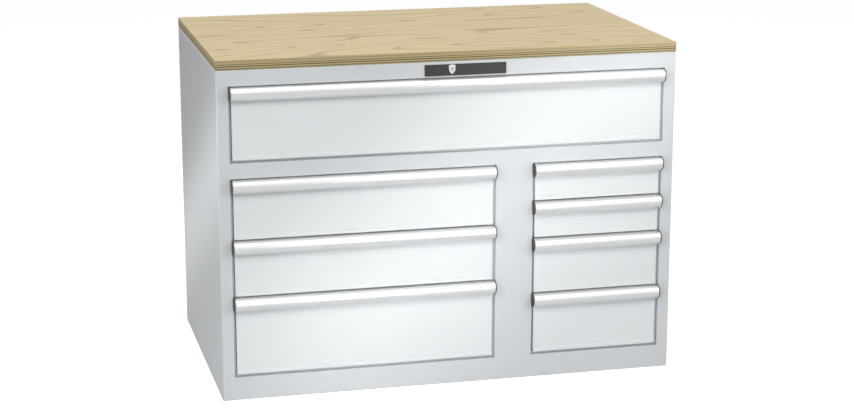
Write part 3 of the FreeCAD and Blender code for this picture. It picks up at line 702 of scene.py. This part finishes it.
class OBJECT_OT_cabinet_side_walls(CabinetPiece, bpy.types.Operator):
    """Fold each side wall round its front corner into the stile, the rebate and its lip"""

    bl_idname = "object.cabinet_side_walls"
    bl_label = "Side walls"

    def make(self, sizes):
        for name, side in SIDES.items():
            node = f"side_panel_{name}"
            low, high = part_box(node)
            outer = low.x if side < 0 else high.x
            lip_face = FRONT_FACE + sizes.rebate_depth - sizes.steel
            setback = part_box("base_pan")[0].y

            def inset(distance):
                """A place this far in from the wall's outer face."""
                return outer - side * distance

            def section(depth, start):
                """Closed outline of the wall's sheet, this far in from its outer faces."""
                fold = max(sizes.corner_fold - depth, sizes.edge)
                line = start + [
                    (inset(depth), FRONT_FACE + depth, fold),
                    (inset(sizes.stile_width), FRONT_FACE + depth, sizes.opening_fold),
                    (inset(sizes.stile_width), lip_face, sizes.lip_fold),
                    (inset(sizes.stile_width + sizes.rebate_lip), lip_face),
                ]
                return sheet_section(line, -side * sizes.steel)

            def above_base(x, y, z):
                """A point of the wall's foot, a seam higher where the wall stands on the base."""
                on_base = y > setback + sizes.seam / 2 and abs(outer - x) < 2 * sizes.steel
                return (x, y, z + sizes.seam if on_base else z)

            bm = bmesh.new()
            foot = section(0, [(inset(0), setback)])
            add_prism(bm, foot, along_z, low.z, BASE_TOP)
            rings = []
            for level, depth in self.levels(sizes, BASE_TOP, high.z):
                near = max(setback, FRONT_FACE + depth + sizes.corner_fold) + sizes.edge
                start = [(inset(depth), place) for place in (BACK_FACE, near + sizes.seam, near)]
                rings.append([(*point, level) for point in section(depth, start)])
            rings[0] = [above_base(*point) for point in rings[0]]
            add_skin(bm, rings)
            edges = sorted((inset(sizes.steel), inset(sizes.steel + sizes.rear_flange)))
            rear = BACK_FACE - 2 * sizes.steel
            add_plate(bm, (edges[0], rear, BASE_TOP), (edges[1], rear + sizes.steel, high.z))
            name += "_side_wall"
            new_piece(name, bm, ["housing"], "housing", [node])

    def levels(self, sizes, low, high):
        """Height, and depth behind the outer face, of each ring up to the fold at the top."""
        steps = math.ceil(math.pi / 2 / FOLD_STEP)
        turns = [math.pi / 2 * step / steps for step in range(steps + 1)]
        fold = sizes.top_fold
        return [(low, 0)] + [
            (high - fold * (1 - math.sin(turn)), fold * (1 - math.cos(turn))) for turn in turns
        ]


class OBJECT_OT_cabinet_front_frame(CabinetPiece, bpy.types.Operator):
    """Fold the sill, the header, the crossbar and the mullion of the front frame"""

    bl_idname = "object.cabinet_front_frame"
    bl_label = "Front frame"

    def make(self, sizes):
        lip_face = FRONT_FACE + sizes.rebate_depth - sizes.steel
        fold = sizes.opening_fold
        left, right = (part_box("front_header")[end].x for end in (0, 1))
        reach = (left - fold, right + fold)
        openings = {
            "top": (left, right),
            "left": (left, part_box("front_mullion")[0].x + sizes.rebate_lip),
            "right": (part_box("front_mullion")[1].x - sizes.rebate_lip, right),
        }
        rails = {
            "front_sill": ([], ["left", "right"]),
            "front_crossbar": (["left", "right"], ["top"]),
            "front_header": (["top"], []),
        }
        for node, (below, above) in rails.items():
            low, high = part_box(node)
            foot = low.z + (sizes.rebate_lip if below else 0)
            top = high.z - (sizes.rebate_lip if above else 0)
            roof = FRONT_FACE + (high.y - low.y) if node == "front_header" else lip_face
            upper = sizes.top_fold if node == "front_header" else fold
            points = [
                (lip_face, foot),
                (FRONT_FACE, foot, fold),
                (FRONT_FACE, top, upper),
                (roof, top),
            ]
            bm = bmesh.new()
            add_prism(bm, sheet_section(points, -sizes.steel), along_x, *reach)
            lips = [(bay, foot - sizes.rebate_lip, foot + sizes.steel) for bay in below]
            lips += [(bay, top - sizes.steel, top + sizes.rebate_lip) for bay in above]
            for bay, lip_low, lip_high in lips:
                start, end = openings[bay]
                near = (start + sizes.rebate_lip, lip_face, lip_low)
                far = (end - sizes.rebate_lip, lip_face + sizes.steel, lip_high)
                add_plate(bm, near, far)
            name = node.replace("front_", "") + "_rail"
            new_piece(name, bm, ["housing"], "housing", [node])
        low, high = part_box("front_mullion")
        points = [
            (low.x, lip_face),
            (low.x + sizes.rebate_lip, lip_face, sizes.lip_fold),
            (low.x + sizes.rebate_lip, FRONT_FACE, fold),
            (high.x - sizes.rebate_lip, FRONT_FACE, fold),
            (high.x - sizes.rebate_lip, lip_face, sizes.lip_fold),
            (high.x, lip_face),
        ]
        bm = bmesh.new()
        add_prism(bm, sheet_section(points, sizes.steel), along_z, low.z - fold, high.z + fold)
        new_piece("mullion", bm, ["housing"], "housing", ["front_mullion"])


class OBJECT_OT_cabinet_housing(CabinetPiece, bpy.types.Operator):
    """Paint the plain sheets of the housing, and plate what carries the slides"""

    bl_idname = "object.cabinet_housing"
    bl_label = "Housing sheets"

    def make(self, sizes):
        dress("housing", "base_pan", "back_panel", "top_panel")
        dress("zinc", "centre_partition", "rail_uprights", "cabinet_rails")
        dress("zinc", "worktop_screws", "bar_guides", "locking_frame", "lock_cam")


class OBJECT_OT_cabinet_worktop(CabinetPiece, bpy.types.Operator):
    """Lay the plywood board, with its upper edges eased and its plies showing all round"""

    bl_idname = "object.cabinet_worktop"
    bl_label = "Worktop"

    def make(self, sizes):
        low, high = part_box("worktop")
        bm = bmesh.new()
        add_plate(bm, low, high)
        name, rounding = "plywood_worktop", sizes.worktop_edge
        piece = new_piece(name, bm, ["wood", "ply"], "housing", ["worktop"], rounding)
        # Both faces carry the veneer, and the four edges show the plies.
        for face in piece.data.polygons:
            face.material_index = 0 if abs(face.normal.z) > 0.5 else 1


class OBJECT_OT_cabinet_fronts(CabinetPiece, bpy.types.Operator):
    """Fold a pan for each drawer front, kicked forward at its foot below a crease"""

    bl_idname = "object.cabinet_fronts"
    bl_label = "Drawer fronts"

    def make(self, sizes):
        for drawer in DRAWERS:
            node = f"{drawer}_front"
            low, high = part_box(node)
            face = low.y + sizes.foot_kick
            crease = low.z + sizes.foot_height
            line = [
                (high.y, high.z),
                (face, high.z),
                (face, crease + sizes.foot_kick),
                (low.y, crease),
                (low.y, low.z),
                (high.y, low.z),
            ]
            outer, bend = sizes.front_fold, sizes.crease_fold
            folds = [0, outer, bend, bend, outer, 0]
            bm = bmesh.new()
            weight = bm.edges.layers.float.new("bevel_weight_edge")
            rings = [[bm.verts.new((x, *point)) for point in line] for x in (low.x, high.x)]
            for index in range(len(line) - 1):
                bm.faces.new(
                    (rings[0][index], rings[0][index + 1], rings[1][index + 1], rings[1][index])
                )
            for ring in rings:
                bm.faces.new(ring)
            bmesh.ops.recalc_face_normals(bm, faces=bm.faces)
            for index, fold in enumerate(folds):
                edge = bm.edges.get((rings[0][index], rings[1][index]))
                edge[weight] = fold / outer
            for ring in rings:
                for index in range(len(line) - 1):
                    bm.edges.get((ring[index], ring[index + 1]))[weight] = 1
            name = f"{drawer}_folded_front"
            piece = new_piece(name, bm, ["front"], drawer, [node])
            self.fold(piece, sizes)

    def fold(self, piece, sizes):
        """Round the pan's folds by their weights, and give its sheet a gauge."""
        bevel = piece.modifiers.new("folds", "BEVEL")
        bevel.width = sizes.front_fold
        bevel.segments = 4
        bevel.limit_method = "WEIGHT"
        bevel.use_clamp_overlap = True
        sheet = piece.modifiers.new("gauge", "SOLIDIFY")
        sheet.thickness = sizes.front_steel
        sheet.offset = -1
        sheet.use_even_offset = True
        # The flats are shaded last, once the folds are there.
        piece.modifiers.move(0, len(piece.modifiers) - 1)


def bow(face, top, foot, upper, lower):
    """Points down the bowed front of a handle on two radii, and the foot that they run to."""
    widest = (face, top - upper)
    drop = top - upper - foot
    heel = (face + lower - math.sqrt(lower**2 - drop**2), foot)
    points = arc_points((face + upper, top), widest, upper) + arc_points(widest, heel, lower)
    return points, Vector(heel)


class OBJECT_OT_cabinet_handles(CabinetPiece, bpy.types.Operator):
    """Extrude a thin bowed bar for each drawer, flat behind and open below"""

    bl_idname = "object.cabinet_handles"
    bl_label = "Handles"

    def make(self, sizes):
        for drawer in DRAWERS:
            node = f"{drawer}_handle"
            low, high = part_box(node)
            upper, lower = sizes.handle_top_radius, sizes.handle_lower_radius
            wall = sizes.handle_wall
            roof = high.z - wall
            outside, heel = bow(low.y, high.z, low.z, upper, lower)
            inside, _ = bow(low.y + wall, roof, low.z, upper - wall, lower - wall)
            back = [(high.y - wall, roof), (high.y - wall, low.z)]
            back += [(high.y, low.z), (high.y, high.z)]
            outline = outside + [heel] + inside[::-1] + [Vector(point) for point in back]
            bm = bmesh.new()
            add_prism(bm, outline, along_x, low.x, high.x)
            name = f"{drawer}_bar_handle"
            new_piece(name, bm, ["handle"], drawer, [node], sizes.edge)


class OBJECT_OT_cabinet_handle_caps(CabinetPiece, bpy.types.Operator):
    """Mould the pair of end caps for each handle, a little larger than its outline"""

    bl_idname = "object.cabinet_handle_caps"
    bl_label = "Handle caps"

    def make(self, sizes):
        for drawer in DRAWERS:
            node = f"{drawer}_handle_caps"
            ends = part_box(node)
            low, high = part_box(f"{drawer}_handle")
            over = sizes.cap_overhang
            face, foot, top = low.y - over, low.z - over, high.z + over
            upper, lower = sizes.handle_top_radius + over, sizes.handle_lower_radius + over
            outline, heel = bow(face, top, foot, upper, lower)
            outline += [heel, Vector((high.y, foot)), Vector((high.y, top))]
            bm = bmesh.new()
            add_prism(bm, outline, along_x, ends[0].x, low.x)
            add_prism(bm, outline, along_x, high.x, ends[1].x)
            name = f"{drawer}_end_caps"
            new_piece(name, bm, ["cap"], drawer, [node], sizes.cap_edge)


class OBJECT_OT_cabinet_trays(CabinetPiece, bpy.types.Operator):
    """Paint the drawer trays and plate their carriages"""

    bl_idname = "object.cabinet_trays"
    bl_label = "Trays and carriages"

    def make(self, sizes):
        for drawer in DRAWERS:
            dress("tray", f"{drawer}_tray")
            dress("zinc", f"{drawer}_carriages")


class OBJECT_OT_cabinet_lock(CabinetPiece, bpy.types.Operator):
    """Fit the cover strip, the shield and the turning plug of the lock"""

    bl_idname = "object.cabinet_lock"
    bl_label = "Lock"

    def make(self, sizes):
        """Find the lock's centre, then make its three pieces round it."""
        plug_low, plug_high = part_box("lock_plug")
        self.radius = (plug_high.x - plug_low.x) / 2
        self.centre = Vector((plug_low.x + self.radius, plug_low.z + self.radius))
        self.strip_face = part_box("lock_strip")[0].y
        self.make_strip(sizes)
        self.make_shield(sizes)
        self.make_plug(sizes, plug_low.y, plug_high.y)

    def ring(self, points, y, share=1.0):
        """Points round the lock's centre at the depth y, at a share of their own reach."""
        return [
            (self.centre.x + share * point[0], y, self.centre.y + share * point[1])
            for point in points
        ]

    def make_strip(self, sizes):
        """The dark strip, round at its corners and along the edges of its face."""
        low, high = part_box("lock_strip")
        corner = sizes.strip_corner
        corners = [(low.x, low.z), (high.x, low.z), (high.x, high.z), (low.x, high.z)]
        outline = folded([(*point, corner) for point in corners])
        bm = bmesh.new()
        add_prism(bm, outline, along_y, low.y, high.y)
        name, rounding = "lock_cover_strip", sizes.strip_edge
        new_piece(name, bm, ["strip"], "housing", ["lock_strip"], rounding)

    def make_shield(self, sizes):
        """The shield with its raised rim and a bore for the plug, and the barrel behind it."""
        low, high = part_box("lock_barrel")
        half, foot = high.x - self.centre.x, low.z - self.centre.y
        right_waist, right_shoulder = (half, sizes.shield_waist), (half, sizes.shield_shoulder)
        left_waist, left_shoulder = (-half, sizes.shield_waist), (-half, sizes.shield_shoulder)
        outline = arc_points((0, foot), right_waist, sizes.shield_side)
        outline += [Vector(right_waist)]
        outline += arc_points(right_shoulder, left_shoulder, sizes.shield_crown)
        outline += [Vector(left_shoulder)]
        outline += arc_points(left_waist, (0, foot), sizes.shield_side)
        bore = [point.normalized() * self.radius for point in outline]
        eased = 1 - sizes.edge / half
        inside = 1 - sizes.shield_rim / half
        field = low.y + sizes.shield_step
        bm = bmesh.new()
        rings = [
            self.ring(outline, self.strip_face),
            self.ring(outline, low.y + sizes.edge),
            self.ring(outline, low.y, eased),
            self.ring(outline, low.y, inside),
            self.ring(outline, field, inside - 1 + eased),
            self.ring(bore, field),
            self.ring(bore, self.strip_face),
        ]
        add_skin(bm, rings, closed_ends=False)
        tube = [(sizes.barrel_radius * x, sizes.barrel_radius * z) for x, z in CIRCLE]
        behind = FRONT_FACE + sizes.steel
        add_skin(bm, [self.ring(tube, behind), self.ring(tube, high.y)])
        new_piece("lock_shield", bm, ["chrome"], "housing", ["lock_barrel"])

    def make_plug(self, sizes, nose, tail):
        """What the key turns: a short nose with the key slot, and the shaft behind the barrel."""
        rim = [(self.radius * x, self.radius * z) for x, z in CIRCLE]
        half_width, half_height = sizes.key_slot_width / 2, sizes.key_slot_height / 2
        slot = []
        for x, z in CIRCLE:
            reach = min(half_width / max(abs(x), TINY), half_height / max(abs(z), TINY))
            slot.append((reach * x, reach * z))
        bm = bmesh.new()
        rings = [
            self.ring(rim, self.strip_face),
            self.ring(rim, nose + sizes.edge),
            self.ring(rim, nose, 1 - sizes.edge / self.radius),
            self.ring(slot, nose),
            self.ring(slot, self.strip_face),
        ]
        add_skin(bm, rings, closed_ends=False)
        barrel_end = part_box("lock_barrel")[1].y
        add_skin(bm, [self.ring(rim, barrel_end), self.ring(rim, tail)])
        name, finishes = "lock_key_plug", ["chrome", "strip"]
        piece = new_piece(name, bm, finishes, "lock_core", ["lock_plug"])
        # The key slot's walls take the strip's dark plastic: painted shade for the shadow inside
        # the keyway.
        for face in piece.data.polygons:
            x, y, z = face.center
            across = (Vector((x, z)) - self.centre).length
            if nose + sizes.edge < y < self.strip_face and across < half_height:
                face.material_index = 1


class OBJECT_OT_cabinet_studio(bpy.types.Operator):
    """Set the floor, the lamps, the background and the camera"""

    bl_idname = "object.cabinet_studio"
    bl_label = "Studio"
    bl_options = {"REGISTER", "UNDO"}

    def execute(self, context):
        self.set_floor(context.scene)
        self.set_world(context.scene)
        self.set_lamps(context.scene)
        self.set_camera(context.scene)
        return {"FINISHED"}

    def set_floor(self, scene):
        """A wide matt floor, pale in itself and lifted to white where the camera sees it."""
        mesh = bpy.data.meshes.new("floor")
        corners = [(FLOOR_REACH * x, FLOOR_REACH * y, 0) for x, y in FLOOR_CORNERS]
        mesh.from_pydata(corners, [], [(0, 1, 2, 3)])
        floor = bpy.data.objects.new("floor", mesh)
        floor.location.z = -FLOOR_DROP
        scene.collection.objects.link(floor)
        material, tree, shader, place = new_material("studio_floor")
        set_shader(shader, scene.cabinet_colours.floor, 0.9, IOR=1.3)
        vary(tree, shader, place, scene.cabinet_colours.floor, 0.004, 900)
        camera, mirrored = self.seen_rays(tree)
        # The camera sees the floor as white; reflections see it no brighter than the world.
        direct = add_node(
            tree, "ShaderNodeMath", {"operation": "MULTIPLY", 1: FLOOR_LIFT}, {0: camera}
        )
        lift = add_node(
            tree,
            "ShaderNodeMath",
            {"operation": "MULTIPLY_ADD", 1: MIRRORED_FLOOR_LIFT},
            {0: mirrored, 2: direct.outputs[0]},
        )
        glow = add_node(tree, "ShaderNodeEmission", None, {"Strength": lift.outputs[0]})
        add_node(
            tree,
            "ShaderNodeAddShader",
            None,
            {0: shader.outputs[0], 1: glow.outputs[0]},
            tree.nodes["Material Output"].inputs["Surface"],
        )
        mesh.materials.append(material)

    def seen_rays(self, tree):
        """Sockets that are 1 for the camera's own rays, and for rays by way of metal or glass."""
        path = add_node(tree, "ShaderNodeLightPath")
        mirrored = add_node(
            tree,
            "ShaderNodeMath",
            {"operation": "MAXIMUM"},
            {0: path.outputs["Is Glossy Ray"], 1: path.outputs["Is Transmission Ray"]},
        )
        return path.outputs["Is Camera Ray"], mirrored.outputs[0]

    def set_world(self, scene):
        """White where it is seen, and a weak neutral fill as light."""
        world = bpy.data.worlds.new("studio")
        scene.world = world
        world.use_nodes = True
        tree = world.node_tree
        tree.nodes.clear()
        camera, mirrored = self.seen_rays(tree)
        seen = add_node(
            tree, "ShaderNodeMath", {"operation": "MAXIMUM"}, {0: camera, 1: mirrored}
        )
        fill = add_node(
            tree, "ShaderNodeBackground", {"Color": FILL_COLOUR, "Strength": FILL_STRENGTH}
        )
        white = add_node(tree, "ShaderNodeBackground", {"Color": (1, 1, 1, 1), "Strength": 1.0})
        output = add_node(tree, "ShaderNodeOutputWorld")
        add_node(
            tree,
            "ShaderNodeMixShader",
            None,
            {0: seen.outputs[0], 1: fill.outputs[0], 2: white.outputs[0]},
            output.inputs["Surface"],
        )

    def set_lamps(self, scene):
        """Area lamps by the table, each turned from its place to the point it is aimed at."""
        for name, place, aim, width, height, roll, spread, power in LAMPS:
            light = bpy.data.lights.new(name, "AREA")
            light.shape = "RECTANGLE"
            light.size = width
            light.size_y = height
            light.spread = math.radians(spread)
            light.energy = power
            lamp = bpy.data.objects.new(name, light)
            lamp.location = place
            way = Vector(aim) - Vector(place)
            turn = way.to_track_quat("-Z", "Y").to_matrix()
            turn = turn @ Matrix.Rotation(math.radians(roll), 3, "Z")
            lamp.rotation_euler = turn.to_euler()
            lamp.visible_camera = False
            scene.collection.objects.link(lamp)

    def set_camera(self, scene):
        """The photograph's view, without shift or depth of field, shown in plain colours."""
        lens = bpy.data.cameras.new("camera")
        lens.lens = CAMERA_LENS
        lens.sensor_width = SENSOR_WIDTH
        lens.sensor_fit = "HORIZONTAL"
        camera = bpy.data.objects.new("camera", lens)
        camera.location = CAMERA_PLACE
        camera.rotation_euler = (CAMERA_PITCH, 0, CAMERA_YAW)
        scene.collection.objects.link(camera)
        scene.camera = camera
        scene.view_settings.view_transform = "Standard"


PIECES = (
    OBJECT_OT_cabinet_side_walls,
    OBJECT_OT_cabinet_front_frame,
    OBJECT_OT_cabinet_housing,
    OBJECT_OT_cabinet_worktop,
    OBJECT_OT_cabinet_fronts,
    OBJECT_OT_cabinet_handles,
    OBJECT_OT_cabinet_handle_caps,
    OBJECT_OT_cabinet_trays,
    OBJECT_OT_cabinet_lock,
    OBJECT_OT_cabinet_studio,
)


class VIEW3D_PT_cabinet(bpy.types.Panel):
    """The cabinet's settings and the operators that make it"""

    bl_label = "Multi-drawer cabinet"
    bl_idname = "VIEW3D_PT_cabinet"
    bl_space_type = "VIEW_3D"
    bl_region_type = "UI"
    bl_category = "Cabinet"

    def draw(self, context):
        for group in (context.scene.cabinet_sizes, context.scene.cabinet_colours):
            box = self.layout.box()
            for name in group.__annotations__:
                box.prop(group, name)
        for piece in PIECES:
            self.layout.operator(piece.bl_idname)


CLASSES = (CabinetSizes, CabinetColours, *PIECES, VIEW3D_PT_cabinet)


def register():
    """Make the classes known to Blender, and give the scene its settings."""
    for each in CLASSES:
        bpy.utils.register_class(each)
    bpy.types.Scene.cabinet_sizes = bpy.props.PointerProperty(type=CabinetSizes)
    bpy.types.Scene.cabinet_colours = bpy.props.PointerProperty(type=CabinetColours)


def unregister():
    """Take the settings and the classes away again."""
    del bpy.types.Scene.cabinet_colours
    del bpy.types.Scene.cabinet_sizes
    for each in reversed(CLASSES):
        bpy.utils.unregister_class(each)


def main():
    """Make the whole cabinet and its studio."""
    register()
    for piece in PIECES:
        group, name = piece.bl_idname.split(".")
        getattr(getattr(bpy.ops, group), name)()


if __name__ == "__main__":
    main()
